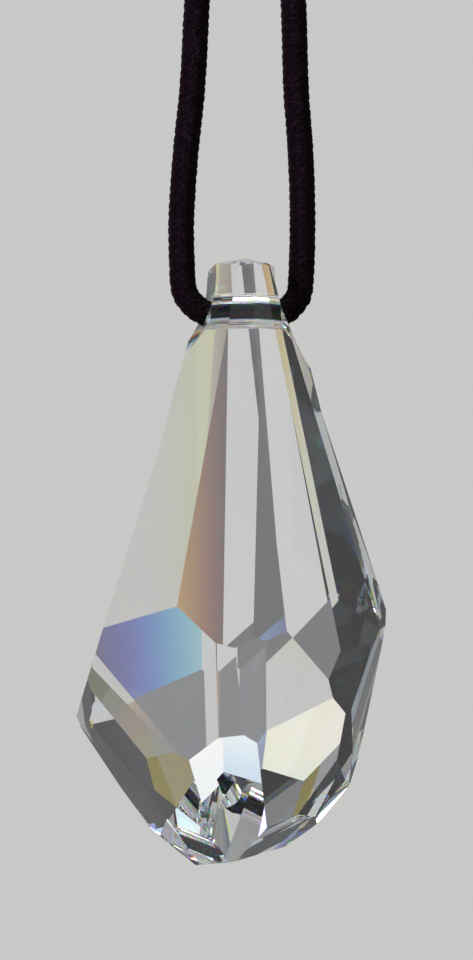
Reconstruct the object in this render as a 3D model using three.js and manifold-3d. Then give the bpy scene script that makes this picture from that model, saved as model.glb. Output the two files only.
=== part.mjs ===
// A faceted drop of clear crystal glass, hung on a round braided cord through a hole drilled across its neck.
// Millimetres, +Z up, front towards -Y. The origin is where a hook bears, inside the top of the cord's small eye.
import * as THREE from 'three';
import { mergeVertices } from 'three/addons/utils/BufferGeometryUtils.js';
import Module from 'manifold-3d';

// ---- sizes -------------------------------------------------------------------------------------------------
const CORD_D = 2.2;            // round braided cord
const HOLE_D = 3.0;            // drilled across the neck, along X
const HOLE_CHAMFER = 0.45;     // eased rim at each mouth of the hole
const NECK_HALF = 3.07;        // from the middle of the neck to the scoop's wall, at the hole
const SCOOP_R = 9.0;           // hollow ground into each side of the neck, its axis along Y
const SCOOP_X = 11.42;         // middle of that hollow, left and right of the neck
const SCOOP_Z = 3.4;           // and above the hole
const BEND_R = 3.1;            // the cord's bend as it turns up out of the hole
const BEND_X = 1.9;            // where that bend starts
const KNOT_LOW = 68.0;         // underside of the knot above the hole
const KNOT_H = 8.0;             // three turns of cord round the two strands
const KNOT_W = 9.3;
const KNOT_DEEP = 6.7;
const EYE_R = 4.4;             // middle of the cord at the top of the eye
const EYE_RISE = 8.6;          // from the knot's top to the middle of that bend
const STRAND_GAP = 1.32;       // each strand's distance from the middle at the knot
const GAP = 0.3;               // air between touching pieces
const HOOK = KNOT_LOW + KNOT_H + EYE_RISE + EYE_R - CORD_D / 2;   // hook's bearing point above the hole

// ---- the crystal's facets ----------------------------------------------------------------------------------
// Each facet: name, turn about the axis (0 faces the front, 90 the right), rise of its normal above level, and
// its distance from the middle of the hole.
const FACETS = [
  ['long_left', -40.3, 11.3, 3.58],
  ['long_middle', -18.8, 8.8, 3.78],
  ['long_sliver', -1.0, 8.4, 4.30],
  ['long_right', 25.9, 9.8, 3.84],
  ['long_right_outer', 36.7, 10.9, 3.80],
  ['long_right_edge', 54.6, 14.3, 3.87],
  ['belly_left', -36.1, -9.4, 12.48],
  ['belly_wedge_left', -23.9, -9.8, 12.84],
  ['belly_wedge_right', -7.5, -8.5, 12.35],
  ['belly_middle', 7.5, -8.1, 12.33],
  ['belly_right_small', 38.8, 1.9, 8.44],
  ['flank_right', 63.6, -11.0, 15.94],
  ['flank_right_edge', 68.6, -12.6, 16.90],
  ['lower_left', -22.0, -30.0, 23.75],
  ['lower_right', 16.8, -24.5, 21.23],
  ['keel_right_small', 50.4, -20.4, 20.80],
  ['keel_right', 39.8, -32.8, 26.86],
  ['keel_right_edge', 53.6, -36.9, 29.57],
  ['foot_right', 39.2, -52.0, 35.90],
  ['belly_left_sliver', -43.5, -15.2, 16.21],
  ['flank_left_high', -51.2, -21.6, 20.04],
  ['flank_left_inner', -50.3, -30.7, 24.74],
  ['flank_left_low', -63.3, -28.3, 24.24],
  ['foot_left', -61.8, -38.7, 29.47],
  ['edge_left_high', -74.2, -21.8, 22.47],
  ['edge_left_mid', -74.4, -33.1, 27.45],
  ['edge_left_low', -74.7, -36.5, 29.11],
  ['foot_left_edge', -70.5, -39.1, 30.13],
];
// The long sides flare a little: each is two facets that meet in a faint hollow crease.
const FLARED = [
  { upper: ['rim_left_upper', -97.0, 14.6, 3.77], lower: ['rim_left_lower', -96.7, 17.2, 3.18] },
  { upper: ['rim_right_upper', 79.2, 13.6, 4.50], lower: ['rim_right_lower', 78.5, 18.0, 3.77] },
];
const RIM = [
  ['rim_left_corner', -138.7, -16.0, 21.07],
  ['rim_left_heel', -144.9, -21.3, 23.00],
  ['rim_heel', -166.4, -41.9, 33.10],
  ['rim_toe', 106.9, -73.2, 42.96],
  ['rim_toe_mid', 122.3, -78.7, 44.10],
  ['rim_toe_right', 137.1, -63.4, 40.61],
  ['rim_keel_1', 131.1, -32.7, 26.09],
  ['rim_keel_2', 135.0, -31.6, 25.20],
  ['rim_right_heel', 132.1, -25.3, 21.59],
  ['rim_right_low_1', 126.0, -24.9, 21.97],
  ['rim_right_low_2', 122.6, -17.1, 17.93],
  ['rim_right_low_3', 92.6, -9.8, 15.79],
  ['rim_right_low_4', 91.3, -11.1, 16.41],
];
const BACK = [
  ['back_long_left', -146, 10, 5.73],
  ['back_long_middle_left', -169, 8.6, 3.85],
  ['back_long_middle_right', 166, 9.2, 3.80],
  ['back_long_right', 143, 11, 3.70],
  ['back_belly_left', -148, -9.5, 16.61],
  ['back_belly_middle', -176, -8.5, 12.40],
  ['back_belly_right', 150, -9, 12.10],
  ['back_lower_left', -160, -30, 27.41],
  ['back_lower_right', 158, -27, 22.17],
  ['back_foot', 178, -50, 36.77],
];
const CROWN = [
  ['crown_left', -90, 82.8, 4.36],
  ['crown_right', 90, 80.6, 4.30],
  ['crown_bevel_front_left', -36, 52, 5.03],
  ['crown_bevel_front_right', 22, 52, 5.14],
  ['crown_bevel_back_left', -150, 52, 5.16],
  ['crown_bevel_back_right', 155, 52, 5.12],
];

const wasm = await Module();
wasm.setup();

const rad = (deg) => (deg * Math.PI) / 180;

function toSolid(geometry) {
  const g = geometry.clone();
  g.deleteAttribute('normal');
  g.deleteAttribute('uv');
  const m = mergeVertices(g, 1e-5);
  return new wasm.Manifold(new wasm.Mesh({
    numProp: 3,
    vertProperties: new Float32Array(m.attributes.position.array),
    triVerts: new Uint32Array(m.index.array),
  }));
}

function toGeometry(solid) {
  const mesh = solid.getMesh();
  const g = new THREE.BufferGeometry();
  g.setAttribute('position', new THREE.BufferAttribute(new Float32Array(mesh.vertProperties), 3));
  g.setIndex(new THREE.BufferAttribute(new Uint32Array(mesh.triVerts), 1));
  g.computeVertexNormals();
  return g;
}

// The direction a facet faces.
const facing = ([, turn, rise]) => new THREE.Vector3(
  Math.cos(rad(rise)) * Math.sin(rad(turn)),
  -Math.cos(rad(rise)) * Math.cos(rad(turn)),
  Math.sin(rad(rise)),
);

// All that lies beyond a plane: a large block whose near face is the plane.
function beyond(n, reach) {
  const SIDE = 160;
  const place = new THREE.Matrix4()
    .makeRotationFromQuaternion(new THREE.Quaternion().setFromUnitVectors(new THREE.Vector3(0, 0, 1), n))
    .setPosition(n.clone().multiplyScalar(reach + SIDE / 2));
  return toSolid(new THREE.BoxGeometry(SIDE, SIDE, SIDE).applyMatrix4(place));
}
const ground = (facet) => beyond(facing(facet), facet[3]);

// Grinds a flared side: each of its two facets stops at the level of the crease where they meet.
function flare(body, { upper, lower }) {
  const a = facing(upper);
  const b = facing(lower);
  const crease = a.clone().cross(b).normalize();
  const level = crease.clone().cross(a.clone().add(b)).normalize();
  if (level.z < 0) level.negate();
  const c = a.dot(b);
  const k = 1 / (1 - c * c);
  const point = a.clone().multiplyScalar(k * (upper[3] - lower[3] * c)).addScaledVector(b, k * (lower[3] - upper[3] * c));
  const at = level.dot(point);
  return body
    .subtract(ground(upper).subtract(beyond(level.clone().negate(), -at)))
    .subtract(ground(lower).subtract(beyond(level, at)));
}

function crystal() {
  let body = toSolid(new THREE.BoxGeometry(40, 40, 64).translate(0, 0, -22));
  for (const facet of [...FACETS, ...RIM, ...BACK, ...CROWN]) body = body.subtract(ground(facet));
  for (const side of FLARED) body = flare(body, side);
  for (const side of [-1, 1]) {
    const scoop = new THREE.CylinderGeometry(SCOOP_R, SCOOP_R, 30, 240);   // its axis is already along Y
    body = body.subtract(toSolid(scoop.translate(side * SCOOP_X, 0, SCOOP_Z)));
  }
  // The hole, with its rim eased at both mouths.
  const r = HOLE_D / 2;
  const start = NECK_HALF - HOLE_CHAMFER;
  const half = [[0, 12], [r + 12 - start, 12], [r, start], [r, 0]];
  const profile = [...half, ...half.slice(0, 3).reverse().map(([x, y]) => [x, -y])]
    .map(([x, y]) => new THREE.Vector2(x, y))
    .reverse();
  const drill = new THREE.LatheGeometry(profile, 72);
  body = body.subtract(toSolid(drill.rotateZ(Math.PI / 2)));
  return toGeometry(body);
}

// ---- the cord ----------------------------------------------------------------------------------------------
// Middle line of the right strand, from the middle of the hole up to the knot: level in the hole, the bend, then
// the slight outward bow and the long way in to the knot. Heights are from the hole. lean is how far the pair of
// strands stands to the right at that height.
function strand() {
  const points = [[0, 0], [BEND_X * 0.5, 0], [BEND_X, 0]];
  for (const a of [18, 36, 54, 70]) {
    points.push([BEND_X + BEND_R * Math.sin(rad(a)), BEND_R * (1 - Math.cos(rad(a)))]);
  }
  const rise = [[5.02, 4.6], [5.08, 7.46], [4.97, 11.2], [4.72, 15], [4.38, 18.8], [4.06, 26.3],
    [3.45, 36], [2.72, 46], [1.98, 56], [1.5, 63]];
  points.push(...rise, [STRAND_GAP, KNOT_LOW - GAP]);
  return points;
}
const lean = (z) => (z < 7 || z > 60 ? 0 : 0.33 * Math.sin(Math.PI * Math.min(1, (z - 7) / 53)));

function tube(points, steps) {
  const path = new THREE.CatmullRomCurve3(points, false, 'centripetal');
  const section = new THREE.Shape();
  const SIDES = 8;
  for (let i = 0; i < SIDES; i++) {
    const a = (2 * Math.PI * (i + 0.5)) / SIDES;
    const x = (CORD_D / 2) * Math.cos(a);
    const y = (CORD_D / 2) * Math.sin(a);
    if (i === 0) section.moveTo(x, y);
    else section.lineTo(x, y);
  }
  section.closePath();
  return toGeometry(toSolid(new THREE.ExtrudeGeometry(section, {
    steps, curveSegments: 1, bevelEnabled: false, extrudePath: path,
  })));
}

function strands() {
  const right = strand();
  const all = [...right.slice(1).reverse().map(([x, z]) => [-x, z]), ...right];
  return tube(all.map(([x, z]) => new THREE.Vector3(x + lean(z), 0, z)), 64);
}

function eye() {
  const low = KNOT_LOW + KNOT_H + GAP;
  const top = KNOT_LOW + KNOT_H + EYE_RISE;
  const side = [[STRAND_GAP, low], [1.7, low + 1.6], [3.0, low + 4.2], [4.05, low + 6.4], [EYE_R, top]];
  for (const a of [30, 60]) side.push([EYE_R * Math.cos(rad(a)), top + EYE_R * Math.sin(rad(a))]);
  const all = [...side.map(([x, z]) => [-x, z]), [0, top + EYE_R], ...side.slice().reverse()];
  return tube(all.map(([x, z]) => new THREE.Vector3(x, 0, z)), 20);
}

function knot() {
  const steps = 14;
  const profile = [new THREE.Vector2(0, 0)];
  for (let i = 0; i <= steps; i++) {
    const a = (Math.PI * i) / steps;
    profile.push(new THREE.Vector2(
      0.62 + 0.38 * Math.sin(a) ** 0.7,
      (KNOT_H * (1 - Math.cos(a))) / 2,
    ));
  }
  profile.push(new THREE.Vector2(0, KNOT_H));
  return toGeometry(toSolid(new THREE.LatheGeometry(profile, 28)
    .rotateX(Math.PI / 2)
    .scale(KNOT_W / 2, KNOT_DEEP / 2, 1)));
}

const glass = () => new THREE.MeshStandardMaterial({ color: 0xf2f6fa, roughness: 0.02, metalness: 0, transparent: true, opacity: 0.4 });
const braid = () => new THREE.MeshStandardMaterial({ color: 0x1c1517, roughness: 0.9, metalness: 0 });

const group = new THREE.Group();
function add(name, geometry, material, z) {
  const mesh = new THREE.Mesh(geometry, material);
  mesh.name = name;
  mesh.position.z = z;
  group.add(mesh);
}
add('crystal_drop', crystal(), glass(), -HOOK);
add('hanging_cord', strands(), braid(), -HOOK);
add('cord_knot', knot(), braid(), KNOT_LOW - HOOK);
add('cord_eye', eye(), braid(), -HOOK);

export default group;
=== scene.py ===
# A faceted drop of clear crystal glass on a black braided cord, hung in plain soft studio light.
import math
import random

import bmesh
import bpy
import numpy as np
from mathutils import Matrix, Vector


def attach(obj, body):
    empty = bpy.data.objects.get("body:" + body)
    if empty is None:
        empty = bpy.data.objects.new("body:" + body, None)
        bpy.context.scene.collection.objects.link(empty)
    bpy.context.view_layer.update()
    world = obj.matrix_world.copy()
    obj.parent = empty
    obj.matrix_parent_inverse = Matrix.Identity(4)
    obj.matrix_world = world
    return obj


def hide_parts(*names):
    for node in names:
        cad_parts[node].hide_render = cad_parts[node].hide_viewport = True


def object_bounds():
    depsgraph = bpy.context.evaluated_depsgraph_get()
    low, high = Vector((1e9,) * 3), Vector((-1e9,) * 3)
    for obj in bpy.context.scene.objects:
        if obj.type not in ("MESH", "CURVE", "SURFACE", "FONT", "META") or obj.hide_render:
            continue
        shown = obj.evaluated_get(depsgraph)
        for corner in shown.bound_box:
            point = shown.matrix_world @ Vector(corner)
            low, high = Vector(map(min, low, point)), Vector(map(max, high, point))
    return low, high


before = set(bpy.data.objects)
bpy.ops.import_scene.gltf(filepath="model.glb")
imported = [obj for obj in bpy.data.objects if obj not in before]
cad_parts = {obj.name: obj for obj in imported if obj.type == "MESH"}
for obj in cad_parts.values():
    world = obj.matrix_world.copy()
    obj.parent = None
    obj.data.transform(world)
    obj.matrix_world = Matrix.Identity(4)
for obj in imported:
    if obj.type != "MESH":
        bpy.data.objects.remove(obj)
cad_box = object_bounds()
scene = bpy.context.scene
random.seed(11)
rng = np.random.default_rng(11)

# ---- sizes, metres -------------------------------------------------------------------------------------------
MM = 0.001
CORD_D, HOLE_D, CHAMFER, NECK_HALF = 2.2, 3.0, 0.45, 3.07
SCOOP_R, SCOOP_X, SCOOP_Z = 9.0, 11.42, 3.4
BEND_R, BEND_X = 3.1, 1.9
KNOT_LOW, KNOT_H, KNOT_W, KNOT_DEEP = 68.0, 8.0, 9.3, 6.7
EYE_R, EYE_RISE, STRAND_GAP = 4.4, 8.6, 1.32
HOOK = KNOT_LOW + KNOT_H + EYE_RISE + EYE_R - CORD_D / 2


# ---- camera --------------------------------------------------------------------------------------------------
AZ, EL = math.radians(9.0), math.radians(7.5)      # a little from the left, and looking a little up
right = Vector((math.cos(AZ), -math.sin(AZ), 0))
ahead = Vector((math.sin(AZ) * math.cos(EL), math.cos(AZ) * math.cos(EL), math.sin(EL)))
up = right.cross(ahead)
PX_MM = 12.1                                       # pixels to a millimetre at the hole, in a 473 x 960 frame
DIST = 600.0
aim = Vector((0, 0, -HOOK)) + right * ((236.5 - 241.8) / PX_MM) - up * ((480.0 - 316.6) / PX_MM)
cam_data = bpy.data.cameras.new("camera")
cam = bpy.data.objects.new("camera", cam_data)
scene.collection.objects.link(cam)
cam_data.sensor_fit = "VERTICAL"
cam_data.sensor_height = 24.0
cam_data.lens = 24.0 * DIST / (960.0 / PX_MM)
cam_data.clip_start, cam_data.clip_end = 0.02, 50.0
cam.matrix_world = Matrix((
    (right.x, up.x, -ahead.x, 0), (right.y, up.y, -ahead.y, 0), (right.z, up.z, -ahead.z, 0), (0, 0, 0, 1)))
cam.matrix_world.translation = (aim - ahead * DIST) * MM
scene.camera = cam


# ---- node helpers --------------------------------------------------------------------------------------------
def material(name):
    m = bpy.data.materials.new(name)
    m.use_nodes = True
    m.node_tree.nodes.clear()
    return m, m.node_tree


def node(nt, kind, inputs=None, **settings):
    n = nt.nodes.new(kind)
    for k, v in settings.items():
        setattr(n, k, v)
    for k, v in (inputs or {}).items():
        n.inputs[k].default_value = v
    return n


def new_object(name, mesh):
    o = bpy.data.objects.new(name, mesh)
    scene.collection.objects.link(o)
    return o


# ---- crystal -------------------------------------------------------------------------------------------------
def crystal_mesh():
    """The drop's own faceted solid with its facets as whole faces, and its ground hollows and hole shaded round."""
    bm = bmesh.new()
    bm.from_mesh(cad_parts["crystal_drop"].data)
    bmesh.ops.remove_doubles(bm, verts=bm.verts, dist=2e-6)
    bmesh.ops.dissolve_limit(bm, angle_limit=math.radians(0.35), verts=bm.verts, edges=bm.edges)
    origin = Vector((0, 0, -HOOK)) * MM

    def surface(face):
        far = {"hole": 0.0, "scoop": 0.0}
        for v in face.verts:
            p = (v.co - origin) / MM
            far["hole"] = max(far["hole"], abs(math.hypot(p.y, p.z) - HOLE_D / 2))
            far["scoop"] = max(far["scoop"], abs(math.hypot(abs(p.x) - SCOOP_X, p.z - SCOOP_Z) - SCOOP_R))
        if far["hole"] < 0.02:
            return "hole"
        return "scoop" if far["scoop"] < 0.02 else "facet"

    kind = {f: surface(f) for f in bm.faces}
    for e in bm.edges:
        ks = [kind[f] for f in e.link_faces]
        e.smooth = len(ks) == 2 and ks[0] == ks[1] != "facet"
    for f in bm.faces:
        f.smooth = True
    bm.normal_update()
    me = bpy.data.meshes.new("crystal")
    bm.to_mesh(me)
    bm.free()
    if "custom_normal" in me.attributes:
        me.attributes.remove(me.attributes["custom_normal"])
    me.materials.clear()
    return me


def crystal_material():
    m, nt = material("clear_crystal")
    out = node(nt, "ShaderNodeOutputMaterial")
    glass = node(nt, "ShaderNodeBsdfGlass", {"Color": (0.985, 0.99, 0.995, 1), "Roughness": 0.0, "IOR": 1.57})
    # Seven bands of the spectrum, each bent by its own amount; together they are white.
    bands = [((3.0, 0.0, 0.0, 1), 1.526), ((2.6, 0.9, 0.0, 1), 1.540), ((1.1, 2.2, 0.0, 1), 1.555),
             ((0.0, 2.5, 0.5, 1), 1.571), ((0.0, 1.2, 2.0, 1), 1.588), ((0.0, 0.2, 2.7, 1), 1.606),
             ((0.3, 0.0, 1.8, 1), 1.625)]
    spread = None
    for i, (tint, ior) in enumerate(bands):
        band = node(nt, "ShaderNodeBsdfGlass", {"Color": tint, "Roughness": 0.0, "IOR": ior})
        if spread is None:
            spread = band
            continue
        both = node(nt, "ShaderNodeMixShader", {0: 1 / (i + 1)})
        nt.links.new(spread.outputs[0], both.inputs[1])
        nt.links.new(band.outputs[0], both.inputs[2])
        spread = both
    # Light spreads into its colours where it leaves the glass, and not where it is wholly reflected inside.
    geo = node(nt, "ShaderNodeNewGeometry")
    fresnel = node(nt, "ShaderNodeFresnel", {"IOR": 1.57})
    leaves = node(nt, "ShaderNodeMath", {1: 0.999}, operation="LESS_THAN")
    nt.links.new(fresnel.outputs[0], leaves.inputs[0])
    where = node(nt, "ShaderNodeMath", operation="MULTIPLY")
    nt.links.new(leaves.outputs[0], where.inputs[0])
    nt.links.new(geo.outputs["Backfacing"], where.inputs[1])
    mix = node(nt, "ShaderNodeMixShader")
    nt.links.new(where.outputs[0], mix.inputs[0])
    nt.links.new(glass.outputs[0], mix.inputs[1])
    nt.links.new(spread.outputs[0], mix.inputs[2])
    nt.links.new(mix.outputs[0], out.inputs["Surface"])
    return m


crystal = new_object("crystal", crystal_mesh())
crystal.data.materials.append(crystal_material())
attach(crystal, "root")
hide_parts("crystal_drop")


# ---- the cord's route, metres --------------------------------------------------------------------------------
def smooth_line(points, step):
    """A centripetal Catmull-Rom line through the points, resampled at even steps."""
    p = np.array(points, float)
    p = np.vstack([2 * p[0] - p[1], p, 2 * p[-1] - p[-2]])
    fine = []
    for i in range(1, len(p) - 2):
        p0, p1, p2, p3 = p[i - 1], p[i], p[i + 1], p[i + 2]
        t0 = 0.0
        t1 = t0 + np.linalg.norm(p1 - p0) ** 0.5
        t2 = t1 + np.linalg.norm(p2 - p1) ** 0.5
        t3 = t2 + np.linalg.norm(p3 - p2) ** 0.5
        for t in np.linspace(t1, t2, 24, endpoint=False):
            a1 = (t1 - t) / (t1 - t0) * p0 + (t - t0) / (t1 - t0) * p1
            a2 = (t2 - t) / (t2 - t1) * p1 + (t - t1) / (t2 - t1) * p2
            a3 = (t3 - t) / (t3 - t2) * p2 + (t - t2) / (t3 - t2) * p3
            b1 = (t2 - t) / (t2 - t0) * a1 + (t - t0) / (t2 - t0) * a2
            b2 = (t3 - t) / (t3 - t1) * a2 + (t - t1) / (t3 - t1) * a3
            fine.append((t2 - t) / (t2 - t1) * b1 + (t - t1) / (t2 - t1) * b2)
    fine.append(p[-2])
    fine = np.array(fine)
    s = np.concatenate([[0], np.cumsum(np.linalg.norm(np.diff(fine, axis=0), axis=1))])
    n = max(2, int(round(s[-1] / step)))
    at = np.linspace(0, s[-1], n + 1)
    return np.stack([np.interp(at, s, fine[:, k]) for k in range(3)], 1)


def lean(z):
    return 0.0 if z < 7 or z > 60 else 0.33 * math.sin(math.pi * min(1, (z - 7) / 53))


def cord_route():
    strand = [(0, 0), (BEND_X * 0.5, 0), (BEND_X, 0)]
    for a in (18, 36, 54, 70):
        a = math.radians(a)
        strand.append((BEND_X + BEND_R * math.sin(a), BEND_R * (1 - math.cos(a))))
    strand += [(5.02, 4.6), (5.08, 7.46), (4.97, 11.2), (4.72, 15), (4.38, 18.8), (4.06, 26.3),
               (3.45, 36), (2.72, 46), (1.98, 56), (1.5, 63), (STRAND_GAP, KNOT_LOW - 0.3)]
    low, top = KNOT_LOW + KNOT_H + 0.3, KNOT_LOW + KNOT_H + EYE_RISE
    side = [(STRAND_GAP, low), (1.7, low + 1.6), (3.0, low + 4.2), (4.05, low + 6.4), (EYE_R, top)]
    side += [(EYE_R * math.cos(math.radians(a)), top + EYE_R * math.sin(math.radians(a))) for a in (30, 60)]
    mid = KNOT_LOW + KNOT_H / 2
    left = [(-x + lean(z), z) for x, z in strand[1:]][::-1]
    rightward = [(x + lean(z), z) for x, z in strand]
    eye = [(x, z) for x, z in side] + [(0, top + EYE_R)] + [(-x, z) for x, z in side[::-1]]
    line = [(-STRAND_GAP, mid)] + left + rightward + [(STRAND_GAP, mid)] + eye + [(-STRAND_GAP, mid + 0.4)]
    return [Vector((x, 0, z - HOOK)) * MM for x, z in line]


# ---- braided cord --------------------------------------------------------------------------------------------
def frames_along(line):
    """Tangent and two cross directions at each point, carried along without twist."""
    t = np.gradient(line, axis=0)
    t /= np.linalg.norm(t, axis=1)[:, None]
    u = np.zeros_like(t)
    first = np.array([0.0, 1.0, 0.0]) if abs(t[0][1]) < 0.9 else np.array([1.0, 0.0, 0.0])
    u[0] = first - t[0] * first.dot(t[0])
    u[0] /= np.linalg.norm(u[0])
    for i in range(1, len(t)):
        v = u[i - 1] - t[i] * u[i - 1].dot(t[i])
        u[i] = v / np.linalg.norm(v)
    return t, u, np.cross(t, u)


def tube_faces(rings, sides, offset, closed=True):
    faces = []
    for i in range(rings - 1):
        for k in range(sides):
            a, b = offset + i * sides + k, offset + i * sides + (k + 1) % sides
            faces.append((a, b, b + sides, a + sides))
    if closed:
        faces.append(tuple(offset + k for k in range(sides))[::-1])
        faces.append(tuple(offset + (rings - 1) * sides + k for k in range(sides)))
    return faces


def braid(name, route, diameter, carriers=8, pitch=5.6, step=0.24, hairs=0, yarn=0.57):
    """Two sets of yarns wound round a core in opposite hands, each passing over two and under two of the others."""
    line = smooth_line([p / MM for p in route], step)
    n = len(line)
    t, u, v = frames_along(line)
    s = np.concatenate([[0], np.cumsum(np.linalg.norm(np.diff(line, axis=0), axis=1))])
    R = diameter / 2
    verts, faces, shade = [], [], []

    def put_tube(centre, radius_a, radius_b, normal, along, sides, tone):
        side = np.cross(along, normal)
        side /= np.linalg.norm(side, axis=1)[:, None]
        base = sum(len(b) for b in verts)
        ring = []
        for k in range(sides):
            a = 2 * math.pi * k / sides
            ring.append(centre + normal * (radius_b * math.cos(a)) + side * (radius_a * math.sin(a)))
        pts = np.stack(ring, 1).reshape(-1, 3)
        verts.append(pts)
        faces.extend(tube_faces(len(centre), sides, base))
        shade.append(np.repeat(tone, sides))

    # the core, painted dark (0.15) as shade where it lies under the yarns
    put_tube(line, (R - 0.34) * np.ones((n, 1)), (R - 0.34) * np.ones((n, 1)), u, t, 10, np.full(n, 0.15))
    for hand in (1, -1):
        for c in range(carriers):
            turn = hand * 2 * math.pi * s / pitch + 2 * math.pi * c / carriers
            # this yarn crosses the other set 2 * carriers times a turn; over two, under two
            phase = 2 * carriers * s / pitch / 4 + (c * 0.5 if hand > 0 else c * 0.5 + 0.5)
            wave = np.clip(1.35 * np.cos(2 * math.pi * phase), -1, 1)
            # no yarn is quite even: it loosens, thins and strays a little on its way
            loose, thin, stray = (sum(np.sin(s * w + rng.uniform(0, 2 * math.pi)) for w in (0.9, 2.3, 4.1, 7.7)) / 4
                                  for _ in range(3))
            turn = turn + 0.09 * stray
            lift = R - 0.205 + 0.052 * wave * hand + 0.03 * loose
            radial = u * np.cos(turn)[:, None] + v * np.sin(turn)[:, None]
            centre = line + radial * lift[:, None]
            along = np.gradient(centre, axis=0)
            along /= np.linalg.norm(along, axis=1)[:, None]
            radial = radial - along * (radial * along).sum(1)[:, None]
            radial /= np.linalg.norm(radial, axis=1)[:, None]
            wide = 0.5 * yarn * (1 + 0.16 * thin)
            # painted shade: each yarn's tone follows its lift, darker where it dips under the other set or sits
            # low, lighter where it rides over
            put_tube(centre, wide[:, None], np.full((n, 1), 0.15), radial, along, 6,
                     0.5 + 0.3 * wave * hand + 0.25 * loose)
    # loose fibres standing off the braid
    for _ in range(hairs):
        i = int(rng.integers(2, n - 2))
        a = rng.uniform(0, 2 * math.pi)
        out = u[i] * math.cos(a) + v[i] * math.sin(a)
        side = np.cross(out, t[i])
        way = out * rng.uniform(0.25, 1.0) + side * rng.normal(0, 0.7) + t[i] * rng.normal(0, 0.8)
        way /= np.linalg.norm(way)
        curl = np.cross(way, rng.normal(size=3))
        curl /= np.linalg.norm(curl)
        long, w = rng.gamma(2.2, 0.11) + 0.08, 0.009
        base = line[i] + out * (R - 0.1)
        pts = [base + way * long * f + curl * long * 0.5 * f * f for f in (0, 0.4, 0.75, 1.0)]
        if max(p[2] for p in pts) > cad_box[1][2] / MM - 0.05:
            continue
        off = sum(len(b) for b in verts)
        block = []
        for k, p in enumerate(pts):
            ww = w * (1 - 0.6 * k / 3)
            e1 = np.cross(way, curl)
            block += [p + e1 * ww, p - e1 * ww * 0.5 + curl * ww * 0.87, p - e1 * ww * 0.5 - curl * ww * 0.87]
        verts.append(np.array(block))
        faces.extend(tube_faces(4, 3, off))
        # painted shade: the stray fibres are set near the light end of the same scale, nearly as light as the
        # raised yarns
        shade.append(np.full(12, 0.8))
    co = np.concatenate(verts) * MM
    me = bpy.data.meshes.new(name)
    me.from_pydata([tuple(p) for p in co], [], faces)
    me.polygons.foreach_set("use_smooth", [True] * len(me.polygons))
    # the painted shade values are kept per vertex as 'rise'
    at = me.attributes.new("rise", "FLOAT", "POINT")
    at.data.foreach_set("value", np.concatenate(shade).astype(np.float32))
    me.update()
    return me, line * MM


def cord_material():
    m, nt = material("black_braid")
    out = node(nt, "ShaderNodeOutputMaterial")
    b = node(nt, "ShaderNodeBsdfPrincipled", {"Roughness": 0.7, "IOR": 1.45, "Specular IOR Level": 0.07,
                                              "Sheen Weight": 0.015, "Sheen Roughness": 0.35,
                                              "Sheen Tint": (0.55, 0.42, 0.45, 1)})
    tex = node(nt, "ShaderNodeTexCoord")
    fibre = node(nt, "ShaderNodeTexNoise", {"Scale": 5200.0, "Detail": 3.0, "Roughness": 0.6})
    nt.links.new(tex.outputs["Object"], fibre.inputs["Vector"])
    blotch = node(nt, "ShaderNodeTexNoise", {"Scale": 420.0, "Detail": 2.0})
    nt.links.new(tex.outputs["Object"], blotch.inputs["Vector"])
    ramp = node(nt, "ShaderNodeValToRGB")
    ramp.color_ramp.elements[0].position, ramp.color_ramp.elements[0].color = 0.42, (0.0022, 0.0007, 0.0019, 1)
    ramp.color_ramp.elements[1].position, ramp.color_ramp.elements[1].color = 0.74, (0.034, 0.016, 0.028, 1)
    nt.links.new(fibre.outputs["Fac"], ramp.inputs["Fac"])
    # painted shade: the per-vertex rise value, from each yarn's height in the braid, darkens the fibre colour to
    # about a sixth where yarns lie low and on the core
    rise = node(nt, "ShaderNodeAttribute", attribute_name="rise")
    dark = node(nt, "ShaderNodeMix", data_type="RGBA", blend_type="MULTIPLY")
    dark.inputs[0].default_value = 1.0
    shade = node(nt, "ShaderNodeValToRGB")
    shade.color_ramp.elements[0].color = (0.16, 0.14, 0.15, 1)
    shade.color_ramp.elements[1].color = (1, 1, 1, 1)
    nt.links.new(rise.outputs["Fac"], shade.inputs["Fac"])
    nt.links.new(ramp.outputs[0], dark.inputs[6])
    nt.links.new(shade.outputs[0], dark.inputs[7])
    warm = node(nt, "ShaderNodeMix", data_type="RGBA", blend_type="MIX")
    nt.links.new(blotch.outputs["Fac"], warm.inputs[0])
    nt.links.new(dark.outputs[2], warm.inputs[6])
    warm.inputs[7].default_value = (0.0046, 0.0019, 0.0038, 1)
    nt.links.new(warm.outputs[2], b.inputs["Base Color"])
    bump = node(nt, "ShaderNodeBump", {"Strength": 0.35, "Distance": 0.00003})
    nt.links.new(fibre.outputs["Fac"], bump.inputs["Height"])
    nt.links.new(bump.outputs[0], b.inputs["Normal"])
    nt.links.new(b.outputs[0], out.inputs["Surface"])
    return m


braided = cord_material()
route = cord_route()
cord_me, cord_line = braid("cord", route, CORD_D, hairs=1200)
cord = new_object("cord", cord_me)
cord_me.materials.append(braided)
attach(cord, "root")
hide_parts("hanging_cord", "cord_eye")


def knot_route():
    """Three turns round the two strands, each end tucked in."""
    turns, out = 3.0, []
    rise = (KNOT_H - 2.3 - 0.3) / turns
    n = 40
    for i in range(n + 1):
        f = i / n
        a = 2 * math.pi * turns * f + math.pi
        k = min(1, 8 * min(f, 1 - f) + 0.45)
        out.append(Vector((3.45 * k * math.cos(a), 2.2 * k * math.sin(a),
                           KNOT_LOW + 1.25 + rise * turns * f - HOOK)) * MM)
    return out


knot_me, _ = braid("knot", knot_route(), CORD_D - 0.05, hairs=160)
knot = new_object("knot", knot_me)
knot_me.materials.append(braided)
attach(knot, "root")
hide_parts("cord_knot")

# ---- floor and light ----------------------------------------------------------------------------------
FLOOR_Z = -0.45


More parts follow.
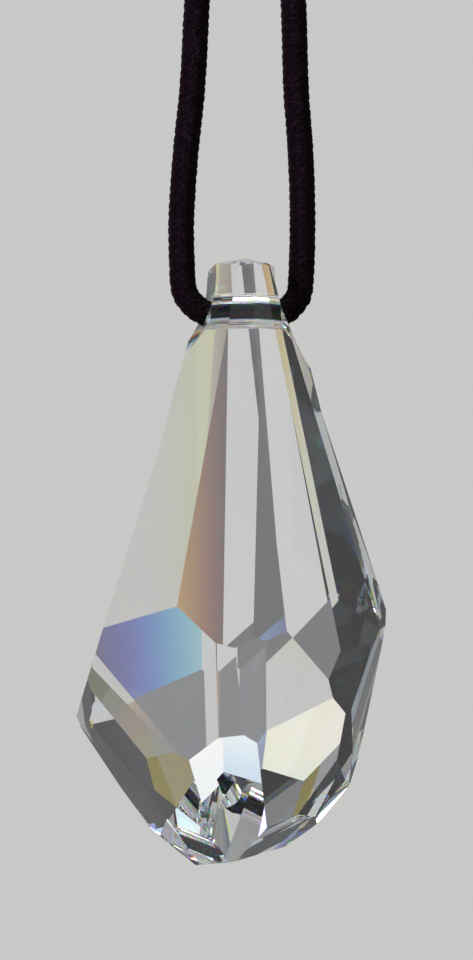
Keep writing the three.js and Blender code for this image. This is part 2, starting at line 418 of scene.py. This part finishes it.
def floor_material():
    m, nt = material("pale_floor")
    out = node(nt, "ShaderNodeOutputMaterial")
    b = node(nt, "ShaderNodeBsdfPrincipled", {"Roughness": 0.75, "Specular IOR Level": 0.2})
    tex = node(nt, "ShaderNodeTexCoord")
    n = node(nt, "ShaderNodeTexNoise", {"Scale": 9.0, "Detail": 3.0})
    nt.links.new(tex.outputs["Object"], n.inputs["Vector"])
    r = node(nt, "ShaderNodeValToRGB")
    r.color_ramp.elements[0].color = (0.62, 0.61, 0.59, 1)
    r.color_ramp.elements[1].color = (0.66, 0.65, 0.63, 1)
    nt.links.new(n.outputs["Fac"], r.inputs["Fac"])
    nt.links.new(r.outputs[0], b.inputs["Base Color"])
    nt.links.new(b.outputs[0], out.inputs["Surface"])
    return m


bm = bmesh.new()
bmesh.ops.create_grid(bm, x_segments=2, y_segments=2, size=4.0)
me = bpy.data.meshes.new("floor")
bm.to_mesh(me)
bm.free()
floor = new_object("floor", me)
floor.location.z = FLOOR_Z
me.materials.append(floor_material())
floor.visible_transmission = floor.visible_glossy = False     # the pale ground of the set stands in for it there

# Plain studio light for clear glass, all of it neutral: the camera sees an even pale ground, and the glass is given
# its tones by broad white softboxes and black cards round the set.
def window(nt, value, low, high, soft):
    """1 between low and high, falling softly to 0 outside."""
    sides = []
    for edge, ends in ((low, (0.0, 1.0)), (high, (1.0, 0.0))):
        n = node(nt, "ShaderNodeMapRange", {1: edge - soft / 2, 2: edge + soft / 2, 3: ends[0], 4: ends[1]},
                 interpolation_type="SMOOTHSTEP")
        nt.links.new(value, n.inputs[0])
        sides.append(n.outputs[0])
    both = node(nt, "ShaderNodeMath", operation="MULTIPLY")
    nt.links.new(sides[0], both.inputs[0])
    nt.links.new(sides[1], both.inputs[1])
    return both.outputs[0]


# Turn from the back towards the right, from and to, then rise above level, from and to, in degrees; the softness of
# the edges; and how bright it is.
WALL = (0.16, 0.34)                        # level with the drop, and 35 degrees above it
SET = [
    (-200, 200, -95, -10, 3, 0.48),        # pale ground, up to its horizon
    (-140, -60, -55, 60, 10, 0.06),        # black card, left
    (60, 140, -55, 60, 10, 0.06),          # black card, right
    (-200, 200, 65, 95, 10, 1.20),         # overhead box
]
world = bpy.data.worlds.new("studio")
scene.world = world
world.use_nodes = True
wn = world.node_tree
wn.nodes.clear()
way = node(wn, "ShaderNodeSeparateXYZ")
wn.links.new(node(wn, "ShaderNodeTexCoord").outputs["Generated"], way.inputs[0])


def degrees_of(operation, *sockets):
    n = node(wn, "ShaderNodeMath", operation=operation)
    for i, socket in enumerate(sockets):
        wn.links.new(socket, n.inputs[i])
    d = node(wn, "ShaderNodeMath", {1: 180 / math.pi}, operation="MULTIPLY")
    wn.links.new(n.outputs[0], d.inputs[0])
    return d.outputs[0]


turn_deg = degrees_of("ARCTAN2", way.outputs["X"], way.outputs["Y"])
rise_deg = degrees_of("ARCSINE", way.outputs["Z"])
wall = node(wn, "ShaderNodeMapRange", {1: -10.0, 2: 35.0, 3: WALL[0], 4: WALL[1]}, interpolation_type="SMOOTHSTEP")
wn.links.new(rise_deg, wall.inputs[0])
glow = wall.outputs[0]
for turn0, turn1, rise0, rise1, soft, bright in SET:
    where = node(wn, "ShaderNodeMath", operation="MULTIPLY")
    wn.links.new(window(wn, turn_deg, turn0, turn1, soft), where.inputs[0])
    wn.links.new(window(wn, rise_deg, rise0, rise1, soft), where.inputs[1])
    mix = node(wn, "ShaderNodeMix", data_type="FLOAT")
    wn.links.new(where.outputs[0], mix.inputs[0])
    wn.links.new(glow, mix.inputs[2])
    mix.inputs[3].default_value = bright
    glow = mix.outputs[0]
set_bg = node(wn, "ShaderNodeBackground", {"Color": (1, 1, 1, 1)})
wn.links.new(glow, set_bg.inputs["Strength"])
plain_bg = node(wn, "ShaderNodeBackground", {"Color": (0.58, 0.58, 0.57, 1), "Strength": 1.0})
seen = node(wn, "ShaderNodeLightPath")
pick = node(wn, "ShaderNodeMixShader")
wn.links.new(seen.outputs["Is Camera Ray"], pick.inputs[0])
wn.links.new(set_bg.outputs[0], pick.inputs[1])
wn.links.new(plain_bg.outputs[0], pick.inputs[2])
wn.links.new(pick.outputs[0], node(wn, "ShaderNodeOutputWorld").inputs["Surface"])


def strip_box(name, place, width, height, bright, feather):
    """A plain upright box of soft white light near the drop, which only the glass sees; place is in millimetres
    from the hole."""
    b = bmesh.new()
    for x, z in ((-1, -1), (1, -1), (1, 1), (-1, 1)):
        b.verts.new(Vector((x * width / 2, 0, z * height / 2)) * MM)
    b.faces.new(b.verts)
    me = bpy.data.meshes.new(name)
    b.to_mesh(me)
    b.free()
    o = new_object(name, me)
    o.location = (Vector(place) + Vector((0, 0, -HOOK))) * MM
    m, nt = material(name)
    tex = node(nt, "ShaderNodeTexCoord")
    grain = node(nt, "ShaderNodeTexNoise", {"Scale": 60.0, "Detail": 2.0})
    nt.links.new(tex.outputs["Object"], grain.inputs["Vector"])
    tone = node(nt, "ShaderNodeMapRange", {3: bright * 0.96, 4: bright * 1.04})
    nt.links.new(grain.outputs["Fac"], tone.inputs[0])
    light = node(nt, "ShaderNodeEmission")
    nt.links.new(tone.outputs[0], light.inputs["Strength"])
    at = node(nt, "ShaderNodeSeparateXYZ")
    nt.links.new(tex.outputs["Object"], at.inputs[0])
    solid = node(nt, "ShaderNodeMath", operation="MULTIPLY")
    for i, (axis, size) in enumerate((("X", width), ("Z", height))):
        half = (size - feather) / 2 * MM
        nt.links.new(window(nt, at.outputs[axis], -half, half, feather * MM), solid.inputs[i])
    edge = node(nt, "ShaderNodeMixShader")
    nt.links.new(solid.outputs[0], edge.inputs[0])
    nt.links.new(node(nt, "ShaderNodeBsdfTransparent").outputs[0], edge.inputs[1])
    nt.links.new(light.outputs[0], edge.inputs[2])
    nt.links.new(edge.outputs[0], node(nt, "ShaderNodeOutputMaterial").inputs["Surface"])
    me.materials.append(m)
    o.visible_camera = o.visible_diffuse = o.visible_shadow = False


# a row of four equal boxes, evenly spaced behind the drop, and a wide one above them, each with an edge as soft as
# about a fifth of its short side
for i in range(4):
    strip_box("strip_%d" % (i + 1), ((i - 1.5) * 80, 130, -25), 50, 100, 0.6, 10)
strip_box("high_box", (0, 140, 85), 240, 110, 1.0, 20)


def softbox(name, place, aim_at, size, power, colour=(1, 1, 1)):
    light = bpy.data.lights.new(name, "AREA")
    light.shape, light.size, light.size_y = "RECTANGLE", size[0], size[1]
    light.energy, light.color = power, colour
    o = bpy.data.objects.new(name, light)
    scene.collection.objects.link(o)
    o.location = place
    o.rotation_euler = (Vector(aim_at) - Vector(place)).to_track_quat("-Z", "Y").to_euler()
    return o


middle = (0, 0, -0.09)
key = softbox("key", (-0.92, -0.3, 0.2), middle, (0.3, 0.8), 15)
key.visible_glossy = key.visible_transmission = False      # it would mirror in the whole left facet
softbox("fill", (0.8, -0.6, 0.2), middle, (0.4, 0.8), 0.5)
softbox("top", (0.0, -0.1, 1.0), middle, (0.7, 0.7), 5)

scene.view_settings.view_transform = "Standard"
c = scene.cycles
c.max_bounces, c.transmission_bounces, c.glossy_bounces, c.diffuse_bounces = 32, 32, 32, 4
c.transparent_max_bounces = 16
c.caustics_refractive = c.caustics_reflective = True
c.blur_glossy = 0.0
